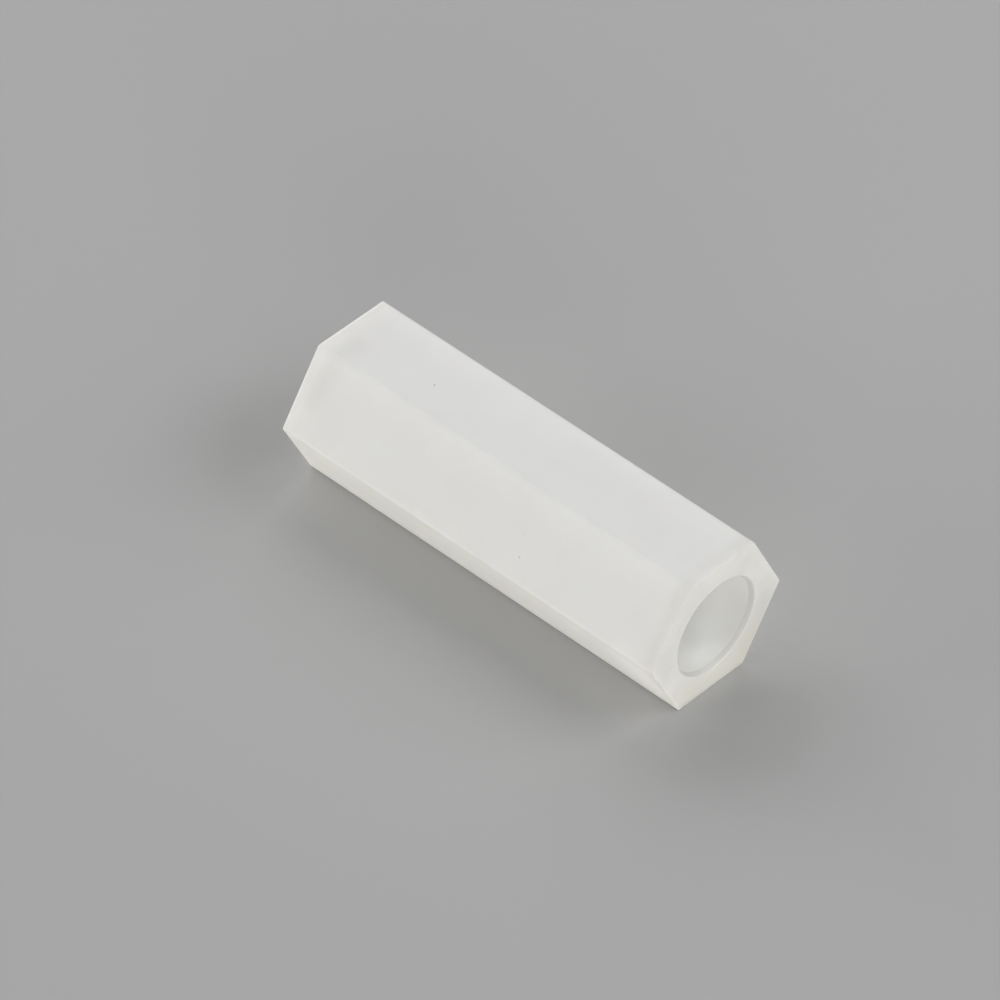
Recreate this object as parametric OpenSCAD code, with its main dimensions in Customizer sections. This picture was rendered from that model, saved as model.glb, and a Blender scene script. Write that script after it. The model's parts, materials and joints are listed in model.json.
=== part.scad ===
// Hexagonal standoff moulded in one piece, with a plain bore from end to end.
// It lies on one flat. The origin is on that flat, under its middle, and X runs along the bore.

/* [Hexagon] */
// Width across opposite flats
across_flats = 6.35; // [5.2:0.05:14]
// Length from end face to end face
body_length = 19.05; // [3:0.05:80]
// Radius along the six long edges
long_edge_radius = 0.15; // [0.03:0.01:0.6]
// Bevel round the outline of each end face
end_bevel = 0.06; // [0.02:0.01:0.3]

/* [Bore] */
// Diameter of the plain bore that a screw passes through
bore_diameter = 4.2; // [1:0.05:5.2]
// How much wider than the bore each mouth is, on the radius
mouth_flare = 0.12; // [0.02:0.01:0.4]
// How far each flared mouth reaches into the bore
mouth_depth = 0.2; // [0.02:0.01:1]

/* [Hidden] */
$fn = 96;
nylon_colour = [0.86, 0.86, 0.84];

SIDES = 6;
CORNER_ANGLE = 360 / SIDES;
// How far a cutter runs past what it cuts
overrun = 1;
// Lets an edge's radius cross its two flats, where it would only touch them along a line
edge_overlap = 0.0002;

half_flats = across_flats / 2;
half_length = body_length / 2;
bore_radius = bore_diameter / 2;
mouth_radius = bore_radius + mouth_flare;
// Distance from the axis to the centre of each long edge's radius
edge_centre = (half_flats - long_edge_radius) / cos(CORNER_ANGLE / 2);

function polar(radius, angle) = radius * [cos(angle), sin(angle)];

// Turns an extrusion from Z to X, with its profile's x along Y and its y along Z
module along_x() {
    rotate([90, 0, 90]) children();
}

// Slab between two opposite flats, whose pointed ends slope at 45 degrees and bevel the end faces
module pointed_slab() {
    shoulder = half_length - end_bevel;
    tip = shoulder + half_flats;
    rotate([90, 0, 0])
        linear_extrude(height = 2 * (across_flats + overrun), center = true)
            polygon([
                [tip, 0], [shoulder, half_flats], [-shoulder, half_flats],
                [-tip, 0], [-shoulder, -half_flats], [shoulder, -half_flats]
            ]);
}

// Sharp hexagonal bar with flats at its top and bottom, longer than the body by its pointed ends
module pointed_bar() {
    intersection_for(turn = [0, CORNER_ANGLE, 2 * CORNER_ANGLE])
        rotate([turn, 0, 0]) pointed_slab();
}

// Section of what comes off one long edge to round it, drawn from the centre of its radius
module long_edge_waste() {
    reach = long_edge_radius + overrun;
    difference() {
        polygon([[0, 0], polar(reach, -CORNER_ANGLE / 2), polar(reach, CORNER_ANGLE / 2)]);
        circle(r = long_edge_radius + edge_overlap);
    }
}

// Section that the body's length is extruded from: it clears the flats and rounds the long edges
module rounded_section() {
    difference() {
        circle(r = across_flats);
        for (corner = [0 : SIDES - 1])
            rotate(corner * CORNER_ANGLE) translate([edge_centre, 0]) long_edge_waste();
    }
}

// Bore with its two flared mouths, as the space that they take out of the body
module bore_space() {
    along_x()
        rotate_extrude()
            polygon([
                [0, -half_length - overrun],
                [mouth_radius, -half_length - overrun],
                [mouth_radius, -half_length],
                [bore_radius, mouth_depth - half_length],
                [bore_radius, half_length - mouth_depth],
                [mouth_radius, half_length],
                [mouth_radius, half_length + overrun],
                [0, half_length + overrun]
            ]);
}

module standoff_body() {
    color(nylon_colour)
        translate([0, 0, half_flats])
            difference() {
                intersection() {
                    pointed_bar();
                    along_x() linear_extrude(height = body_length, center = true) rounded_section();
                }
                bore_space();
            }
}

standoff_body();
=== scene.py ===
"""Dresses the hex standoff: one body of milky natural nylon, lying on a pale studio floor."""

import json
import math
from dataclasses import dataclass

import bpy
from bpy.props import FloatProperty, FloatVectorProperty, IntProperty, PointerProperty
from bpy.types import Operator, Panel, PropertyGroup
from mathutils import Matrix, Vector, noise


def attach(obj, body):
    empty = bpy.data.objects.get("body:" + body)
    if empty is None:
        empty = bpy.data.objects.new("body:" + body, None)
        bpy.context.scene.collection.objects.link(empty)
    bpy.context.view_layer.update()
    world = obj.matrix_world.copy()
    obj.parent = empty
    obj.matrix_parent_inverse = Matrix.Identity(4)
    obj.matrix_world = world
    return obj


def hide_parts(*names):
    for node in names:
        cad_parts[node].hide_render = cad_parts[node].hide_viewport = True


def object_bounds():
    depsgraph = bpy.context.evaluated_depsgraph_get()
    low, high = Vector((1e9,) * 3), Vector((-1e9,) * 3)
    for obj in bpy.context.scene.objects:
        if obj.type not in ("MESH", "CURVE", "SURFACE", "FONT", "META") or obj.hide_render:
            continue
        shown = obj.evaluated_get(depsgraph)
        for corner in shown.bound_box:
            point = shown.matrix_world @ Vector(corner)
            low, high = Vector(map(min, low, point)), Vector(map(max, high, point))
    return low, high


bl_info = {
    "name": "Moulded Nylon Standoff",
    "version": (1, 0, 0),
    "blender": (4, 5, 0),
    "location": "3D View > Sidebar > Standoff",
    "description": "Builds a hexagonal nylon standoff with its finish, floor, lamps and camera",
    "category": "Mesh",
}

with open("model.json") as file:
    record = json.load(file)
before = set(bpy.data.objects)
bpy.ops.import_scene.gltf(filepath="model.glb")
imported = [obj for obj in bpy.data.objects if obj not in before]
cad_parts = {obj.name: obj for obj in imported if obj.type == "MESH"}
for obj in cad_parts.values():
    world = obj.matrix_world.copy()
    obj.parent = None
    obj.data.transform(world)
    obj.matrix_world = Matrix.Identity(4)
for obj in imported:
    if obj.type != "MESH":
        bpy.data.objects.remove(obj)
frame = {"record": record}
CAD_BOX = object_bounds()

BODY = "root"
NODE = "standoff_body"
MM = 0.001

SIDES = 6
CORNER_ANGLE = 2 * math.pi / SIDES
SIZE = CAD_BOX[1] - CAD_BOX[0]
CENTRE = (CAD_BOX[0] + CAD_BOX[1]) / 2
HALF_LENGTH = SIZE.x / 2
HALF_FLATS = SIZE.z / 2
BORE = next(m for m in frame["record"]["mounts"] if m["name"] == "bore")
BORE_RADIUS = BORE["dims"]["r_mm"] * MM
MOUTH_DEPTH = HALF_LENGTH - BORE["dims"]["length_mm"] * MM / 2

# Steps of the mesh round each end edge, across each end face, round each lip and throat, down each
# flare and along the bore
END_EDGE_STEPS = 5
END_FACE_STEPS = 10
LIP_STEPS = 4
THROAT_STEPS = 3
FLARE_STEPS = 4
BORE_STEPS = 60

# The sink and the ripple of the flats die away over these lengths at each end
SINK_FADE = 1.5 * MM
RIPPLE_FADE = 1.0 * MM

# Widths of the ripple's broad and narrow waves, how much weaker the narrow ones are and where they
# start, and how deep the ripple lies on average and how much of it swings, as shares of its height
BROAD_WAVE = 2.2 * MM
NARROW_WAVE = 0.9 * MM
NARROW_SHARE = 0.5
NARROW_START = Vector((7, 3, 5))
RIPPLE_MIDDLE = 0.75
RIPPLE_SWING = 0.5

# Painted shade on the long edges, beside the full one on the end edges. Going round from +Y over the top,
# it fades over the first share of a flat after an edge, and comes back over the second one before the next
# edge
LONG_EDGE_SHADE = 0.15
SHADE_AFTER_EDGE = 0.04
SHADE_BEFORE_EDGE = 0.25

# Painted light on each flat just after its first edge, in the same order, and the share of the flat that
# this fades over
FLATS_PAINTED_LIGHT = (0.18, 0.18, 0.17, 0.0, 0.0, 0.0)
FLAT_PAINTED_LIGHT_REACH = 0.5

# Refraction of nylon, and cycles per metre of the patterns in its finish
NYLON_IOR = 1.53
CLOUD_SCALE = 420.0
PATCH_SCALE = 800.0
SPECK_SCALE = 1500.0
GRAIN_SCALE = 9000.0

# Range of a noise that makes clouds and patches, and the range that makes the satin's softer patches
PATCH_RANGE = (0.35, 0.65)
SATIN_RANGE = (0.3, 0.7)

# Least share of the painted shade at the ends and edges that is left between patches
PATCH_LEAST = 0.6

# Scattered specks: radius where they are full and where they end, in cells of their pattern, how rare
# they are from 0 to 1, and the strength of the strongest
SPECK_RADII = (0.02, 0.05)
SPECK_RARITY = 0.80
SPECK_STRENGTH = 0.25

# The floor's patterns in the same way, the tone of its clouds beside its own, its grain's height, its
# finish, and how far it lies under the standoff
FLOOR_CLOUD_SCALE = 12.0
FLOOR_CLOUD = 0.985
FLOOR_GRAIN_SCALE = 1500.0
FLOOR_GRAIN_DEPTH = 0.01 * MM
FLOOR_ROUGHNESS = 0.9
FLOOR_SPECULAR = 0.1
FLOOR_DROP = 0.01 * MM

# Distance of the softboxes in metres, and for each of them its name, azimuth from +X and elevation in
# degrees, width and height in metres, and level at the standoff
LAMP_DISTANCE = 0.45
LAMPS = (
    ("left_low_softbox", 180, 12, 0.3, 0.14, 0.20),
    ("left_softbox", 180, 40, 0.3, 0.3, 0.21),
    ("rear_softbox", 135, 40, 0.3, 0.3, 0.27),
    ("right_softbox", 45, 40, 0.3, 0.3, 0.33),
    ("end_softbox", 0, 40, 0.3, 0.3, 0.21),
    ("front_low_softbox", 315, 12, 0.3, 0.14, 0.35),
    ("near_low_softbox", 225, 12, 0.3, 0.14, 0.325),
)

# Small spot on the lower wall just inside the near mouth: place that it lights in mm, direction that
# it comes from, distance in mm, level, width of its cone in degrees, share of the cone that fades at
# its rim, and radius of the lamp in mm
MOUTH_SPOT_TARGET = (8.8, 0.05, 1.08)
MOUTH_SPOT_FROM = (0.235, -0.1, 0.97)
MOUTH_SPOT_DISTANCE = 58
MOUTH_SPOT_LEVEL = 0.062
MOUTH_SPOT_CONE = 1.5
MOUTH_SPOT_BLEND = 0.05
MOUTH_SPOT_RADIUS = 0.3

# Painted shade, warmer painted shade and painted light on the nylon: streak from one place to another,
# both in mm from the middle of the lower flat, radius in mm, strength
PAINTED_SHADE_STREAKS = (
    ((9.5, 2.95, 2.2), (9.5, 2.45, 0.9), 2.0, 0.5),
    ((-8.6, -1.75, 6.35), (-8.48, -0.8, 6.35), 0.75, 0.13),
    ((-8.6, -2.15, 5.8), (-8.8, -2.85, 4.6), 0.75, 0.12),
    ((-9.0, -3.0, 1.7), (-4.5, -3.0, 1.7), 1.7, 0.05),
)
PAINTED_WARM_STREAKS = (
    ((9.5, 2.6, 1.2), (9.5, 1.7, 0.3), 1.3, 1.0),
    ((9.5, 1.7, 0.3), (9.5, -1.2, 0.3), 1.1, 0.75),
)
PAINTED_LIGHT_STREAKS = (
    ((8.0, -3.0, 1.9), (9.4, -2.8, 1.5), 1.9, 0.7),
)

# Specks caught in the nylon: place in mm, radius in mm, strength
SPECKS = (
    ((-4.87, -0.31, 6.35), 0.055, 1.0),
    ((2.29, -3.18, 4.01), 0.055, 0.6),
    ((2.05, -2.76, 4.74), 0.07, 0.16),
    ((3.87, -2.33, 5.48), 0.055, 0.14),
)


# ---------------------------------------------------------------- settings


class StandoffBodySettings(PropertyGroup):
    """Small shapes of the moulded body, on top of the sizes that the frame gives."""

    long_edge_radius: FloatProperty(
        name="Long Edge Radius", description="Radius along the six long edges",
        default=0.15 * MM, min=0.02 * MM, max=0.6 * MM, precision=5, unit="LENGTH")
    end_edge_radius: FloatProperty(
        name="End Edge Radius", description="Radius round the outline of each end face",
        default=0.016 * MM, min=0.01 * MM, max=0.14 * MM, precision=5, unit="LENGTH")
    mouth_flare: FloatProperty(
        name="Mouth Flare", description="How much wider than the bore each mouth is, on the radius",
        default=0.12 * MM, min=0.02 * MM, max=0.4 * MM, precision=5, unit="LENGTH")
    lip_radius: FloatProperty(
        name="Lip Radius", description="Radius on the lip of each mouth",
        default=0.012 * MM, min=0.005 * MM, max=0.1 * MM, precision=5, unit="LENGTH")
    sink: FloatProperty(
        name="Sink", description="How far the middle of each flat has shrunk inwards",
        default=0.012 * MM, min=0, max=0.05 * MM, precision=5, unit="LENGTH")
    waviness: FloatProperty(
        name="Waviness", description="Height of the slow ripple that moulding leaves on the flats",
        default=0.003 * MM, min=0, max=0.02 * MM, precision=6, unit="LENGTH")
    # Reach of the painted shade at the +X and -X ends, along the flats
    near_end_shade_reach: FloatProperty(
        name="Near End Reach", description="How far the tone of the +X end runs along the flats",
        default=0.9 * MM, min=0.01 * MM, max=5 * MM, precision=5, unit="LENGTH")
    far_end_shade_reach: FloatProperty(
        name="Far End Reach", description="How far the tone of the -X end runs along the flats",
        default=0.35 * MM, min=0.01 * MM, max=5 * MM, precision=5, unit="LENGTH")
    flat_steps: IntProperty(
        name="Flat Steps", description="Quads across each flat", default=18, min=4, max=60)
    arc_steps: IntProperty(
        name="Arc Steps", description="Quads round each long edge", default=6, min=2, max=16)
    length_steps: IntProperty(
        name="Length Steps", description="Quads along the body", default=110, min=10, max=300)


class NylonSettings(PropertyGroup):
    """Colours and finish of the natural nylon, with the tones of its painted light and shade."""

    tone: FloatVectorProperty(
        name="Tone", description="Colour of the milky nylon", subtype="COLOR", size=3,
        default=(0.870, 0.868, 0.854), min=0, max=1)
    cloud_tone: FloatVectorProperty(
        name="Cloud Tone", description="Colour of its slightly denser clouds", subtype="COLOR", size=3,
        default=(0.853, 0.85, 0.836), min=0, max=1)
    # Painted shade at both ends, over the end faces and a little way along the flats
    end_shade_tone: FloatVectorProperty(
        name="End Tone", description="Colour of the nylon at its two ends", subtype="COLOR", size=3,
        default=(0.77, 0.764, 0.742), min=0, max=1)
    # Painted shade on the edges, and on the flats beside the long edges
    edge_shade_tone: FloatVectorProperty(
        name="Edge Tone", description="Colour of the handled edges", subtype="COLOR", size=3,
        default=(0.65, 0.64, 0.615), min=0, max=1)
    # Painted shade in streaks over the end face, the far end and the low face
    painted_shade_tone: FloatVectorProperty(
        name="Dense Tone", description="Colour of the nylon in its denser places", subtype="COLOR", size=3,
        default=(0.60, 0.59, 0.565), min=0, max=1)
    # Painted shade with a warmer tint, over the lower end face
    painted_warm_tone: FloatVectorProperty(
        name="Warm Tone", description="Colour of the nylon in its warmer places", subtype="COLOR", size=3,
        default=(0.785, 0.772, 0.698), min=0, max=1)
    # Painted light on the flats and along the paler streak
    painted_light_tone: FloatVectorProperty(
        name="Pale Tone", description="Colour of the nylon in its paler places", subtype="COLOR", size=3,
        default=(0.97, 0.965, 0.95), min=0, max=1)
    # Painted light on the bore wall, lighter than the nylon outside
    bore_light_tone: FloatVectorProperty(
        name="Bore Tone", description="Colour of the smooth wall that the core pin left", subtype="COLOR",
        size=3, default=(0.955, 0.955, 0.94), min=0, max=1)
    # Painted shade on the flare of each mouth
    mouth_shade_tone: FloatVectorProperty(
        name="Mouth Tone", description="Colour of the flare at each mouth", subtype="COLOR", size=3,
        default=(0.67, 0.665, 0.645), min=0, max=1)
    speck_tone: FloatVectorProperty(
        name="Speck Tone", description="Colour of the few specks caught in the nylon", subtype="COLOR",
        size=3, default=(0.22, 0.20, 0.17), min=0, max=1)
    scatter: FloatProperty(
        name="Scatter Distance", description="How far light spreads inside the nylon",
        default=0.6 * MM, min=0.05 * MM, max=20 * MM, precision=5, unit="LENGTH")
    scatter_colour: FloatVectorProperty(
        name="Scatter Colour", description="Share of that distance that each colour of light goes",
        size=3, default=(1.0, 0.95, 0.87), min=0, max=1)
    glow: FloatProperty(
        name="Glow", description="Share of the light that spreads inside the nylon", subtype="FACTOR",
        default=0.7, min=0, max=1)
    bore_glow: FloatProperty(
        name="Bore Glow", description="The same share on the wall of the bore", subtype="FACTOR",
        default=0.3, min=0, max=1)
    roughness: FloatProperty(
        name="Roughness", description="Roughness of the satin surface", subtype="FACTOR",
        default=0.58, min=0, max=1)
    roughness_spread: FloatProperty(
        name="Roughness Spread", description="How far the roughness goes up and down in patches",
        default=0.05, min=0, max=0.4)
    grain_depth: FloatProperty(
        name="Grain Depth", description="Height of the fine grain",
        default=0.0016 * MM, min=0, max=0.1 * MM, precision=7, unit="LENGTH")


class StageSettings(PropertyGroup):
    """Floor, even light and camera."""

    floor_tone: FloatVectorProperty(
        name="Floor Tone", description="Colour of the floor", subtype="COLOR", size=3,
        default=(0.51, 0.51, 0.51), min=0, max=1)
    floor_bounce: FloatVectorProperty(
        name="Floor Bounce", description="Colour of the light that the floor throws back up",
        subtype="COLOR", size=3, default=(0.92, 0.90, 0.82), min=0, max=1)
    floor_size: FloatProperty(
        name="Floor Size", description="Width of the floor", default=1.2, min=0.1, unit="LENGTH")
    fill: FloatProperty(
        name="Fill", description="Strength of the even light from all round", default=0.02, min=0)
    azimuth: FloatProperty(
        name="Camera Azimuth",
        description="Turn of the camera round the standoff, from looking along +Y",
        subtype="ANGLE", default=math.radians(39.33))
    elevation: FloatProperty(
        name="Camera Elevation", description="Height of the camera above the horizon",
        subtype="ANGLE", default=math.radians(42.78))
    roll: FloatProperty(
        name="Camera Roll", description="Tilt of the camera about its own line of sight",
        subtype="ANGLE", default=math.radians(4.29))
    distance: FloatProperty(
        name="Camera Distance", description="From the camera to the middle of the standoff",
        default=0.363, min=0.05, unit="LENGTH")
    lens: FloatProperty(
        name="Lens", description="Focal length of the camera", subtype="DISTANCE_CAMERA", default=341.8)
    # Where the middle of the standoff shows, as a share of the picture from its middle
    frame_right: FloatProperty(
        name="Shown Right",
        description="How far right of the middle the standoff shows, as a share of the width",
        default=0.0295)
    frame_down: FloatProperty(
        name="Shown Down",
        description="How far below the middle the standoff shows, as a share of the width",
        default=0.0038)


# ---------------------------------------------------------------- body mesh


def polar(radius, angle):
    """Point at a radius and an angle, in the plane across the body."""
    return Vector((radius * math.cos(angle), radius * math.sin(angle)))


def smoothstep(value):
    """Eases a share from 0 to 1."""
    value = min(max(value, 0.0), 1.0)
    return value * value * (3 - 2 * value)


def eased(steps):
    """Shares from 0 to 1 that lie closer together towards both ends."""
    return [(1 - math.cos(math.pi * i / steps)) / 2 for i in range(steps + 1)]


def outline(settings, inset, sink=0.0):
    """Rounded hexagon, set in from the flats by inset, with each flat sunk in its middle."""
    radius = settings.long_edge_radius
    centre_distance = (HALF_FLATS - radius) / math.cos(CORNER_ANGLE / 2)
    points = []
    for side in range(SIDES):
        corner, following = side * CORNER_ANGLE, (side + 1) * CORNER_ANGLE
        for i in range(settings.arc_steps):
            turn = corner - CORNER_ANGLE / 2 + CORNER_ANGLE * i / settings.arc_steps
            points.append(polar(centre_distance, corner) + polar(radius - inset, turn))
        facing = corner + CORNER_ANGLE / 2
        start = polar(centre_distance, corner) + polar(radius - inset, facing)
        end = polar(centre_distance, following) + polar(radius - inset, facing)
        for share in eased(settings.flat_steps)[:-1]:
            bow = sink * 4 * share * (1 - share)
            points.append(start.lerp(end, share) - polar(bow, facing))
    return points


def outline_edge_shade_mask(settings):
    """For each point of the outline, how much painted shade it takes: a little on a long edge and on the
    flats beside it, none across the middle of a flat.
    """
    flat = []
    for share in eased(settings.flat_steps)[:-1]:
        after = 1 - smoothstep(share / SHADE_AFTER_EDGE)
        before = max(1 - (1 - share) / SHADE_BEFORE_EDGE, 0) ** 3
        flat.append(LONG_EDGE_SHADE * max(after, before))
    return ([LONG_EDGE_SHADE] * settings.arc_steps + flat) * SIDES


def outline_painted_light_mask(settings):
    """For each point of the outline, how much painted light it takes: on a flat it fades from its first
    edge on.
    """
    arc = [i / settings.arc_steps for i in range(settings.arc_steps)]
    flat = [1 - smoothstep(share / FLAT_PAINTED_LIGHT_REACH) for share in eased(settings.flat_steps)[:-1]]
    return [pale * share for pale in FLATS_PAINTED_LIGHT for share in arc + flat]


def rounded(before, corner, after, radius, steps):
    """Points of the arc that rounds a corner of a profile."""
    to_before, to_after = (before - corner).normalized(), (after - corner).normalized()
    half = to_before.angle(to_after) / 2
    reach = radius / math.tan(half)
    middle = corner + (to_before + to_after).normalized() * radius / math.sin(half)
    first, last = corner + to_before * reach - middle, corner + to_after * reach - middle
    return [middle + first.slerp(last, i / steps) * radius for i in range(steps + 1)]


def mouth_profile(settings):
    """Points (radius, x) of the lip, and from there down the flare to the bore."""
    mouth_radius = BORE_RADIUS + settings.mouth_flare
    face = Vector((HALF_FLATS, HALF_LENGTH))
    lip = Vector((mouth_radius, HALF_LENGTH))
    throat = Vector((BORE_RADIUS, HALF_LENGTH - MOUTH_DEPTH))
    deep = Vector((BORE_RADIUS, 0))
    lip_arc = rounded(face, lip, throat, settings.lip_radius, LIP_STEPS)
    throat_arc = rounded(lip, throat, deep, settings.lip_radius, THROAT_STEPS)
    flare = [lip_arc[-1].lerp(throat_arc[0], i / FLARE_STEPS) for i in range(1, FLARE_STEPS)]
    return lip_arc, flare + throat_arc


@dataclass
class RingMask:
    """Which masks one ring of the mesh takes, each from 0 to 1: painted shade on edges and flats, painted
    light on flats, painted shade at the ends, the bore with its painted light, and painted shade on the
    mouths.
    """

    edge: float | list = 0.0
    pale: float | list = 0.0
    end: float = 0.0
    bore: float = 0.0
    mouth: float = 0.0

    def values(self, name, count):
        """One of the masks, as a list with a value for each point of the ring."""
        value = getattr(self, name)
        return value if isinstance(value, list) else [value] * count


def flat_ring(points, x):
    """Ring of the body at a place along it, from points in the plane across it."""
    return [Vector((x, p.x, p.y)) for p in points]


def end_rings(settings):
    """Rings from the last full outline round the end edge, over the end face and into the bore."""
    radius = settings.end_edge_radius
    rings, masks = [], []
    for i in range(1, END_EDGE_STEPS + 1):
        turn = math.pi / 2 * i / END_EDGE_STEPS
        rings.append(flat_ring(
            outline(settings, radius * (1 - math.cos(turn))),
            HALF_LENGTH - radius * (1 - math.sin(turn))))
        # Painted shade round the end edge, and at the end
        masks.append(RingMask(edge=1.0, end=1.0))
    rim = outline(settings, radius)
    angles = [math.atan2(p.y, p.x) for p in rim]
    lip, flare = mouth_profile(settings)
    mouth = [polar(lip[0].x, angle) for angle in angles]
    for share in eased(END_FACE_STEPS)[1:-1]:
        rings.append(flat_ring([a.lerp(b, share) for a, b in zip(rim, mouth)], HALF_LENGTH))
        # Painted shade over the end face
        masks.append(RingMask(end=1.0))
    for radius_here, x in lip + flare:
        rings.append(flat_ring([polar(radius_here, angle) for angle in angles], x))
    # Painted shade at the end over the lip, painted shade on the flare, and at the throat half painted
    # shade and half the bore's painted light
    masks += [RingMask(end=1.0)] * len(lip) + [RingMask(mouth=1.0)] * (len(flare) - THROAT_STEPS)
    masks += [RingMask(mouth=0.5, bore=0.5)] * THROAT_STEPS
    return rings, masks, angles


def body_rings(settings):
    """All rings in order round the body's own section: outside, +X end, bore, -X end."""
    shoulder = HALF_LENGTH - settings.end_edge_radius
    long_edge_shade = outline_edge_shade_mask(settings)
    flats = outline_painted_light_mask(settings)
    rings, masks = [], []
    for share in eased(settings.length_steps):
        x = shoulder * (2 * share - 1)
        from_end = shoulder - abs(x)
        sink = settings.sink * smoothstep(from_end / SINK_FADE)
        rings.append(flat_ring(outline(settings, 0.0, sink), x))
        # Painted shade on and beside the long edges, painted light on the flats, and painted shade fading
        # in from each end
        reach = settings.near_end_shade_reach if x > 0 else settings.far_end_shade_reach
        masks.append(RingMask(edge=long_edge_shade, pale=flats, end=1 - smoothstep(from_end / reach)))
    end, end_masks, angles = end_rings(settings)
    wall = [polar(BORE_RADIUS, angle) for angle in angles]
    deepest = end[-1][0].x - 2 * settings.lip_radius
    bore = [flat_ring(wall, deepest * (1 - 2 * i / BORE_STEPS)) for i in range(BORE_STEPS + 1)]
    mirrored = [[Vector((-p.x, p.y, p.z)) for p in ring] for ring in reversed(end)]
    rings += end + bore + mirrored
    # Painted light along the bore, which also sets its own glow
    masks += end_masks + [RingMask(bore=1.0)] * len(bore) + end_masks[::-1]
    return rings, masks


def ripple(settings, point):
    """Moves a point by the slow ripple that moulding leaves."""
    outward = Vector((0, point.y, point.z)).normalized()
    narrow = noise.noise(point / NARROW_WAVE + NARROW_START)
    height = RIPPLE_MIDDLE + RIPPLE_SWING * (noise.noise(point / BROAD_WAVE) + NARROW_SHARE * narrow)
    fade = smoothstep((HALF_LENGTH - abs(point.x)) / RIPPLE_FADE)
    return point - outward * settings.waviness * height * fade


def build_body_mesh(settings):
    """One closed mesh of quads, with masks on its vertices for its painted light and shade and for its
    bore.
    """
    rings, masks = body_rings(settings)
    around = len(rings[0])
    vertices = [ripple(settings, p) + CENTRE for ring in rings for p in ring]
    faces = []
    for i in range(len(rings)):
        following = (i + 1) % len(rings)
        for j in range(around):
            right = (j + 1) % around
            faces.append((
                i * around + j, following * around + j,
                following * around + right, i * around + right))
    mesh = bpy.data.meshes.new("moulded_body")
    mesh.from_pydata(vertices, [], faces)
    mesh.validate()
    for name in ("edge", "pale", "end", "bore", "mouth"):
        values = [v for mask in masks for v in mask.values(name, around)]
        mesh.attributes.new(name, "FLOAT", "POINT").data.foreach_set("value", values)
    mesh.polygons.foreach_set("use_smooth", [True] * len(mesh.polygons))
    mesh.update()
    return mesh


# ---------------------------------------------------------------- materials


def new_node(tree, kind, place, **values):
    """Adds a node and sets its attributes, or its inputs where the name is one of theirs."""
    node = tree.nodes.new(kind)
    node.location = place
    for name, value in values.items():
        if hasattr(node, name):
            setattr(node, name, value)
        else:
            node.inputs[name.replace("_", " ")].default_value = value
    return node


def clouds_group():
    """Shader group that mixes two colours in soft clouds, used by the nylon and the floor."""
    if "Soft Clouds" in bpy.data.node_groups:
        return bpy.data.node_groups["Soft Clouds"]
    group = bpy.data.node_groups.new("Soft Clouds", "ShaderNodeTree")
    sockets = group.interface
    sockets.new_socket("Vector", in_out="INPUT", socket_type="NodeSocketVector")
    sockets.new_socket("Scale", in_out="INPUT", socket_type="NodeSocketFloat")
    sockets.new_socket("Base", in_out="INPUT", socket_type="NodeSocketColor")
    sockets.new_socket("Cloud", in_out="INPUT", socket_type="NodeSocketColor")
    sockets.new_socket("Color", in_out="OUTPUT", socket_type="NodeSocketColor")
    sockets.new_socket("Mask", in_out="OUTPUT", socket_type="NodeSocketFloat")
    inside = new_node(group, "NodeGroupInput", (-700, 0))
    field = new_node(group, "ShaderNodeTexNoise", (-480, 60), Detail=3.0, Roughness=0.5)
    low, high = PATCH_RANGE
    spread = new_node(group, "ShaderNodeMapRange", (-260, 60), From_Min=low, From_Max=high)
    mix = new_node(group, "ShaderNodeMix", (-40, 0), data_type="RGBA")
    outside = new_node(group, "NodeGroupOutput", (180, 0))
    link = group.links.new
    link(inside.outputs["Vector"], field.inputs["Vector"])
    link(inside.outputs["Scale"], field.inputs["Scale"])
    link(field.outputs["Fac"], spread.inputs["Value"])
    link(spread.outputs["Result"], mix.inputs["Factor"])
    link(inside.outputs["Base"], mix.inputs[6])
    link(inside.outputs["Cloud"], mix.inputs[7])
    link(mix.outputs[2], outside.inputs["Color"])
    link(spread.outputs["Result"], outside.inputs["Mask"])
    return group


def grain_group():
    """Shader group that gives the height of a fine grain, used by the nylon and the floor."""
    if "Fine Grain" in bpy.data.node_groups:
        return bpy.data.node_groups["Fine Grain"]
    group = bpy.data.node_groups.new("Fine Grain", "ShaderNodeTree")
    group.interface.new_socket("Vector", in_out="INPUT", socket_type="NodeSocketVector")
    group.interface.new_socket("Scale", in_out="INPUT", socket_type="NodeSocketFloat")
    group.interface.new_socket("Height", in_out="OUTPUT", socket_type="NodeSocketFloat")
    inside = new_node(group, "NodeGroupInput", (-500, 0))
    field = new_node(group, "ShaderNodeTexNoise", (-280, 0), Detail=5.0, Roughness=0.62)
    outside = new_node(group, "NodeGroupOutput", (0, 0))
    group.links.new(inside.outputs["Vector"], field.inputs["Vector"])
    group.links.new(inside.outputs["Scale"], field.inputs["Scale"])
    group.links.new(field.outputs["Fac"], outside.inputs["Height"])
    return group


def add_grain(tree, surface, position, scale, depth, place):
    """Bumps a surface with the fine grain."""
    grain = new_node(tree, "ShaderNodeGroup", place, node_tree=grain_group())
    grain.inputs["Scale"].default_value = scale
    bump = new_node(tree, "ShaderNodeBump", (place[0] + 220, place[1]), Strength=1.0, Distance=depth)
    tree.links.new(position, grain.inputs["Vector"])
    tree.links.new(grain.outputs["Height"], bump.inputs["Height"])
    tree.links.new(bump.outputs["Normal"], surface.inputs["Normal"])


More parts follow.
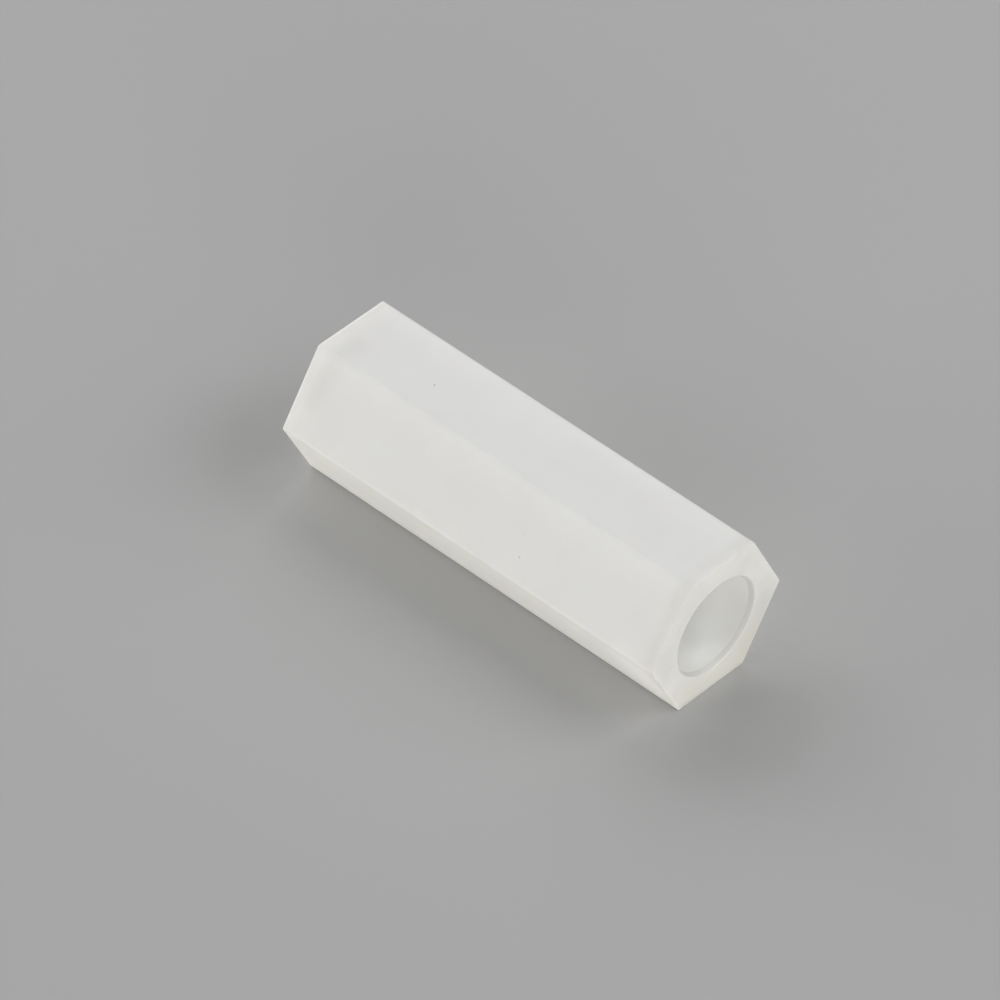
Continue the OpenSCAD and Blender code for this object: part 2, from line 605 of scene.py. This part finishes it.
def seen_directly(tree, place):
    """Output that is 1 for camera, glossy and transmission rays, which show a surface as it looks."""
    path = new_node(tree, "ShaderNodeLightPath", place)
    glossy = new_node(tree, "ShaderNodeMath", (place[0] + 180, place[1]), operation="MAXIMUM")
    both = new_node(tree, "ShaderNodeMath", (place[0] + 360, place[1]), operation="MAXIMUM")
    tree.links.new(path.outputs["Is Camera Ray"], glossy.inputs[0])
    tree.links.new(path.outputs["Is Glossy Ray"], glossy.inputs[1])
    tree.links.new(glossy.outputs["Value"], both.inputs[0])
    tree.links.new(path.outputs["Is Transmission Ray"], both.inputs[1])
    return both.outputs["Value"]


def surface_mask(tree, name, place):
    """Output of one of the masks that the body's mesh carries."""
    return new_node(tree, "ShaderNodeAttribute", place, attribute_name=name).outputs["Fac"]


def ranged(tree, value, place, low, high, to_low=0.0, to_high=1.0):
    """Output that goes from to_low to to_high as a value goes from low to high."""
    node = new_node(tree, "ShaderNodeMapRange", place)
    for name, number in (("From Min", low), ("From Max", high), ("To Min", to_low), ("To Max", to_high)):
        node.inputs[name].default_value = number
    tree.links.new(value, node.inputs["Value"])
    return node.outputs["Result"]


def combined(tree, operation, first, second, place):
    """Output of a sum done on two values."""
    node = new_node(tree, "ShaderNodeMath", place, operation=operation)
    tree.links.new(first, node.inputs[0])
    tree.links.new(second, node.inputs[1])
    return node.outputs["Value"]


def tinted(tree, colour, factor, tone, place):
    """Output that turns a colour to a tone by a factor."""
    mix = new_node(tree, "ShaderNodeMix", place, data_type="RGBA")
    mix.inputs[7].default_value = (*tone, 1)
    tree.links.new(factor, mix.inputs["Factor"])
    tree.links.new(colour, mix.inputs[6])
    return mix.outputs[2]


def streak_group():
    """Shader group that marks a soft streak, used for streaks of painted shade, warmer painted shade and
    painted light, and for specks.
    """
    if "Soft Streak" in bpy.data.node_groups:
        return bpy.data.node_groups["Soft Streak"]
    group = bpy.data.node_groups.new("Soft Streak", "ShaderNodeTree")
    sockets = group.interface
    sockets.new_socket("Vector", in_out="INPUT", socket_type="NodeSocketVector")
    sockets.new_socket("From", in_out="INPUT", socket_type="NodeSocketVector")
    sockets.new_socket("To", in_out="INPUT", socket_type="NodeSocketVector")
    sockets.new_socket("Radius", in_out="INPUT", socket_type="NodeSocketFloat")
    sockets.new_socket("Strength", in_out="INPUT", socket_type="NodeSocketFloat")
    sockets.new_socket("Mask", in_out="OUTPUT", socket_type="NodeSocketFloat")
    inside = new_node(group, "NodeGroupInput", (-1300, 0)).outputs
    link = group.links.new
    along = new_node(group, "ShaderNodeVectorMath", (-1080, 120), operation="SUBTRACT")
    link(inside["To"], along.inputs[0])
    link(inside["From"], along.inputs[1])
    offset = new_node(group, "ShaderNodeVectorMath", (-1080, -80), operation="SUBTRACT")
    link(inside["Vector"], offset.inputs[0])
    link(inside["From"], offset.inputs[1])
    reached = new_node(group, "ShaderNodeVectorMath", (-860, -80), operation="DOT_PRODUCT")
    link(offset.outputs["Vector"], reached.inputs[0])
    link(along.outputs["Vector"], reached.inputs[1])
    whole = new_node(group, "ShaderNodeVectorMath", (-860, 120), operation="DOT_PRODUCT")
    link(along.outputs["Vector"], whole.inputs[0])
    link(along.outputs["Vector"], whole.inputs[1])
    share = new_node(group, "ShaderNodeMath", (-640, 0), operation="DIVIDE", use_clamp=True)
    link(reached.outputs["Value"], share.inputs[0])
    link(whole.outputs["Value"], share.inputs[1])
    nearest = new_node(group, "ShaderNodeVectorMath", (-420, 0), operation="MULTIPLY_ADD")
    link(along.outputs["Vector"], nearest.inputs[0])
    link(share.outputs["Value"], nearest.inputs[1])
    link(inside["From"], nearest.inputs[2])
    gap = new_node(group, "ShaderNodeVectorMath", (-200, 0), operation="DISTANCE")
    link(inside["Vector"], gap.inputs[0])
    link(nearest.outputs["Vector"], gap.inputs[1])
    fade = new_node(group, "ShaderNodeMapRange", (20, 0), interpolation_type="SMOOTHSTEP", To_Max=0.0)
    link(gap.outputs["Value"], fade.inputs["Value"])
    link(inside["Radius"], fade.inputs["From Max"])
    link(inside["Strength"], fade.inputs["To Min"])
    link(fade.outputs["Result"], new_node(group, "NodeGroupOutput", (240, 0)).inputs["Mask"])
    return group


def streaks_mask(tree, position, streaks, place):
    """Output that marks all of the streaks given."""
    x, y = place
    total = None
    for row, (start, end, radius, strength) in enumerate(streaks):
        streak = new_node(tree, "ShaderNodeGroup", (x, y - 240 * row), node_tree=streak_group())
        streak.inputs["From"].default_value = [value * MM for value in start]
        streak.inputs["To"].default_value = [value * MM for value in end]
        streak.inputs["Radius"].default_value = radius * MM
        streak.inputs["Strength"].default_value = strength
        tree.links.new(position, streak.inputs["Vector"])
        marked = streak.outputs["Mask"]
        total = combined(tree, "MAXIMUM", total, marked, (x + 180 + 180 * row, y)) if row else marked
    return total


def speck_mask(tree, position, place):
    """Output that marks the named specks, and a few faint ones scattered over the whole body."""
    x, y = place
    cells = new_node(tree, "ShaderNodeTexVoronoi", (x, y), Scale=SPECK_SCALE)
    split = new_node(tree, "ShaderNodeSeparateColor", (x + 180, y - 120))
    tree.links.new(position, cells.inputs["Vector"])
    tree.links.new(cells.outputs["Color"], split.inputs["Color"])
    near = ranged(tree, cells.outputs["Distance"], (x + 360, y), *SPECK_RADII, 1.0, 0.0)
    rare = ranged(
        tree, split.outputs["Red"], (x + 360, y - 240), SPECK_RARITY, 1.0, 0.0, SPECK_STRENGTH)
    faint = combined(tree, "MULTIPLY", near, rare, (x + 540, y))
    spots = [(spot, spot, radius, strength) for spot, radius, strength in SPECKS]
    named = streaks_mask(tree, position, spots, (x, y - 480))
    return combined(tree, "MAXIMUM", faint, named, (x + 1260, y))


def nylon_material(settings):
    """Milky natural nylon: light spreads inside it, over a satin surface with a faint grain, with painted
    light and shade in its colour.
    """
    material = bpy.data.materials.new("natural_nylon")
    material.use_nodes = True
    tree = material.node_tree
    tree.nodes.clear()
    link = tree.links.new
    output = new_node(tree, "ShaderNodeOutputMaterial", (1500, 0))
    surface = new_node(tree, "ShaderNodeBsdfPrincipled", (1200, 0))
    surface.subsurface_method = "RANDOM_WALK"
    surface.inputs["IOR"].default_value = NYLON_IOR
    surface.inputs["Subsurface Radius"].default_value = settings.scatter_colour
    surface.inputs["Subsurface Scale"].default_value = settings.scatter
    link(surface.outputs["BSDF"], output.inputs["Surface"])

    position = new_node(tree, "ShaderNodeTexCoord", (-900, 0)).outputs["Object"]
    clouds = new_node(tree, "ShaderNodeGroup", (-600, 300), node_tree=clouds_group())
    clouds.inputs["Scale"].default_value = CLOUD_SCALE
    clouds.inputs["Base"].default_value = (*settings.tone, 1)
    clouds.inputs["Cloud"].default_value = (*settings.cloud_tone, 1)
    link(position, clouds.inputs["Vector"])
    patches = new_node(tree, "ShaderNodeTexNoise", (-600, 0), Scale=PATCH_SCALE, Detail=2.0)
    link(position, patches.inputs["Vector"])
    patchy = ranged(tree, patches.outputs["Fac"], (-420, 0), *PATCH_RANGE, PATCH_LEAST, 1.0)
    # Painted shade on the edges and at both ends, broken up in patches
    edge = combined(tree, "MULTIPLY", surface_mask(tree, "edge", (-420, -260)), patchy, (-240, -120))
    end = combined(tree, "MULTIPLY", surface_mask(tree, "end", (-420, 620)), patchy, (-240, 480))

    # Painted light along a streak and on the flats
    streaks = streaks_mask(tree, position, PAINTED_LIGHT_STREAKS, (-900, -1500))
    pale = combined(tree, "MAXIMUM", streaks, surface_mask(tree, "pale", (-600, 620)), (-420, 480))
    colour = tinted(tree, clouds.outputs["Color"], pale, settings.painted_light_tone, (-180, 400))
    colour = tinted(tree, colour, end, settings.end_shade_tone, (0, 400))
    colour = tinted(tree, colour, edge, settings.edge_shade_tone, (180, 400))
    # Painted light on the bore wall
    colour = tinted(tree, colour, surface_mask(tree, "bore", (180, 620)), settings.bore_light_tone, (360, 400))
    # Painted shade on the mouth flares
    colour = tinted(tree, colour, surface_mask(tree, "mouth", (360, 620)), settings.mouth_shade_tone, (540, 400))
    # Painted shade with a warmer tint, in streaks
    painted_warm_shade = streaks_mask(tree, position, PAINTED_WARM_STREAKS, (-1800, -700))
    colour = tinted(tree, colour, painted_warm_shade, settings.painted_warm_tone, (630, 200))
    # Painted shade in streaks
    painted_shade = streaks_mask(tree, position, PAINTED_SHADE_STREAKS, (-900, -700))
    colour = tinted(tree, colour, painted_shade, settings.painted_shade_tone, (720, 400))
    specks = speck_mask(tree, position, (-900, -2200))
    link(tinted(tree, colour, specks, settings.speck_tone, (900, 400)), surface.inputs["Base Color"])
    glow = ranged(
        tree, surface_mask(tree, "bore", (600, -600)), (800, -600),
        0.0, 1.0, settings.glow, settings.bore_glow)
    link(glow, surface.inputs["Subsurface Weight"])
    spread = settings.roughness_spread
    satin = ranged(
        tree, patches.outputs["Fac"], (0, -120), *SATIN_RANGE,
        settings.roughness - spread, settings.roughness + spread)
    link(satin, surface.inputs["Roughness"])
    add_grain(tree, surface, position, GRAIN_SCALE, settings.grain_depth, (600, -300))
    return material


def floor_material(settings):
    """Plain pale matt floor, which throws light up as white paper does and shows in its own tone."""
    material = bpy.data.materials.new("floor_paper")
    material.use_nodes = True
    tree = material.node_tree
    link = tree.links.new
    surface = tree.nodes["Principled BSDF"]
    surface.inputs["Roughness"].default_value = FLOOR_ROUGHNESS
    surface.inputs["Specular IOR Level"].default_value = FLOOR_SPECULAR
    place = new_node(tree, "ShaderNodeTexCoord", (-700, 0))
    clouds = new_node(tree, "ShaderNodeGroup", (-400, 160), node_tree=clouds_group())
    clouds.inputs["Scale"].default_value = FLOOR_CLOUD_SCALE
    clouds.inputs["Base"].default_value = (*settings.floor_tone, 1)
    clouds.inputs["Cloud"].default_value = (*[c * FLOOR_CLOUD for c in settings.floor_tone], 1)
    choose = new_node(tree, "ShaderNodeMix", (-180, 160), data_type="RGBA")
    choose.inputs[6].default_value = (*settings.floor_bounce, 1)
    link(place.outputs["Object"], clouds.inputs["Vector"])
    link(seen_directly(tree, (-700, -200)), choose.inputs["Factor"])
    link(clouds.outputs["Color"], choose.inputs[7])
    link(choose.outputs[2], surface.inputs["Base Color"])
    add_grain(tree, surface, place.outputs["Object"], FLOOR_GRAIN_SCALE, FLOOR_GRAIN_DEPTH, (-400, -400))
    return material


# ---------------------------------------------------------------- stage


def add_object(name, data):
    """Puts a mesh, lamp or camera into the scene as an object."""
    item = bpy.data.objects.new(name, data)
    bpy.context.scene.collection.objects.link(item)
    return item


def add_softbox(name, azimuth, elevation, width, height, level):
    """Soft lamp that faces the standoff and lights it at the level given, where 1 shows white as white."""
    distance = LAMP_DISTANCE
    lamp = bpy.data.lights.new(name, "AREA")
    lamp.shape = "RECTANGLE"
    lamp.size = width
    lamp.size_y = height
    lamp.energy = level * (math.pi * distance) ** 2
    item = add_object(name, lamp)
    a, e = math.radians(azimuth), math.radians(elevation)
    direction = Vector((math.cos(a) * math.cos(e), math.sin(a) * math.cos(e), math.sin(e)))
    item.location = CENTRE + direction * distance
    item.rotation_mode = "QUATERNION"
    item.rotation_quaternion = direction.to_track_quat("Z", "Y")
    item.visible_camera = False


def add_mouth_spot():
    """Small spot that picks out the wall just inside the near mouth."""
    lamp = bpy.data.lights.new("mouth_spot", "SPOT")
    distance = MOUTH_SPOT_DISTANCE * MM
    lamp.energy = MOUTH_SPOT_LEVEL * (2 * math.pi * distance) ** 2
    lamp.spot_size = math.radians(MOUTH_SPOT_CONE)
    lamp.spot_blend = MOUTH_SPOT_BLEND
    lamp.shadow_soft_size = MOUTH_SPOT_RADIUS * MM
    item = add_object("mouth_spot", lamp)
    direction = Vector(MOUTH_SPOT_FROM).normalized()
    item.location = Vector(MOUTH_SPOT_TARGET) * MM + direction * distance
    item.rotation_mode = "QUATERNION"
    item.rotation_quaternion = direction.to_track_quat("Z", "Y")
    item.visible_camera = False


def add_world(settings):
    """Even light from all round, with the floor's own tone behind everything that a camera sees."""
    world = bpy.data.worlds.new("studio")
    bpy.context.scene.world = world
    world.use_nodes = True
    tree = world.node_tree
    tree.nodes.clear()
    link = tree.links.new
    output = new_node(tree, "ShaderNodeOutputWorld", (700, 0))
    choose = new_node(tree, "ShaderNodeMixShader", (500, 0))
    lighting = new_node(tree, "ShaderNodeBackground", (250, 80), Color=(1, 1, 1, 1))
    lighting.inputs["Strength"].default_value = settings.fill
    seen = new_node(tree, "ShaderNodeBackground", (250, -80), Color=(*settings.floor_tone, 1))
    seen.inputs["Strength"].default_value = 1.0
    link(seen_directly(tree, (-300, 0)), choose.inputs["Fac"])
    link(lighting.outputs["Background"], choose.inputs[1])
    link(seen.outputs["Background"], choose.inputs[2])
    link(choose.outputs["Shader"], output.inputs["Surface"])


def add_camera(settings):
    """Camera turned and tilted as set, and moved sideways so that the standoff shows off the middle."""
    a, e = settings.azimuth, settings.elevation
    back = Vector((math.sin(a) * math.cos(e), -math.cos(a) * math.cos(e), math.sin(e)))
    level = Vector((math.cos(a), math.sin(a), 0))
    upright = back.cross(level)
    right = level * math.cos(settings.roll) + upright * math.sin(settings.roll)
    up = back.cross(right)
    data = bpy.data.cameras.new("camera")
    data.sensor_width = 36
    data.lens = settings.lens
    data.clip_start = 0.01
    data.clip_end = 10
    camera = add_object("camera", data)
    shown_width = settings.distance * data.sensor_width / data.lens
    place = CENTRE + back * settings.distance
    place += (up * settings.frame_down - right * settings.frame_right) * shown_width
    camera.matrix_world = Matrix.Translation(place) @ Matrix((right, up, back)).transposed().to_4x4()
    bpy.context.scene.camera = camera


# ---------------------------------------------------------------- operators


class STANDOFF_OT_body(Operator):
    """Build the moulded nylon body over its solid"""

    bl_idname = "standoff.body"
    bl_label = "Build Body"

    def execute(self, context):
        scene = context.scene
        mesh = build_body_mesh(scene.standoff_body)
        body = add_object("moulded_body", mesh)
        mesh.materials.append(nylon_material(scene.standoff_nylon))
        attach(body, BODY)
        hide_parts(NODE)
        return {"FINISHED"}


class STANDOFF_OT_stage(Operator):
    """Build the floor, the lamps, the even light and the camera"""

    bl_idname = "standoff.stage"
    bl_label = "Build Stage"

    def execute(self, context):
        settings = context.scene.standoff_stage
        half = settings.floor_size / 2
        below = CAD_BOX[0].z - FLOOR_DROP
        mesh = bpy.data.meshes.new("floor")
        corners = [(x * half, y * half, below) for x, y in ((-1, -1), (1, -1), (1, 1), (-1, 1))]
        mesh.from_pydata(corners, [], [(0, 1, 2, 3)])
        mesh.materials.append(floor_material(settings))
        add_object("floor", mesh)
        for name, azimuth, elevation, width, height, level in LAMPS:
            add_softbox(name, azimuth, elevation, width, height, level)
        add_mouth_spot()
        add_world(settings)
        add_camera(settings)
        context.scene.view_settings.view_transform = "Standard"
        return {"FINISHED"}


class STANDOFF_PT_panel(Panel):
    """Sidebar panel with the standoff's settings and its two builders"""

    bl_idname = "STANDOFF_PT_panel"
    bl_label = "Nylon Standoff"
    bl_space_type = "VIEW_3D"
    bl_region_type = "UI"
    bl_category = "Standoff"

    def draw(self, context):
        for group, operator in (
            ("standoff_body", STANDOFF_OT_body.bl_idname),
            ("standoff_nylon", None),
            ("standoff_stage", STANDOFF_OT_stage.bl_idname),
        ):
            box = self.layout.box()
            settings = getattr(context.scene, group)
            for name in settings.__annotations__:
                box.prop(settings, name)
            if operator:
                box.operator(operator)


SETTINGS = {
    "standoff_body": StandoffBodySettings,
    "standoff_nylon": NylonSettings,
    "standoff_stage": StageSettings,
}
CLASSES = (*SETTINGS.values(), STANDOFF_OT_body, STANDOFF_OT_stage, STANDOFF_PT_panel)


def register():
    """Adds the classes, and the settings to the scene."""
    for cls in CLASSES:
        bpy.utils.register_class(cls)
    for name, cls in SETTINGS.items():
        setattr(bpy.types.Scene, name, PointerProperty(type=cls))


def unregister():
    """Takes them away again."""
    for name in SETTINGS:
        delattr(bpy.types.Scene, name)
    for cls in reversed(CLASSES):
        bpy.utils.unregister_class(cls)


def main():
    """Builds everything."""
    register()
    bpy.ops.standoff.body()
    bpy.ops.standoff.stage()


if __name__ == "__main__":
    main()
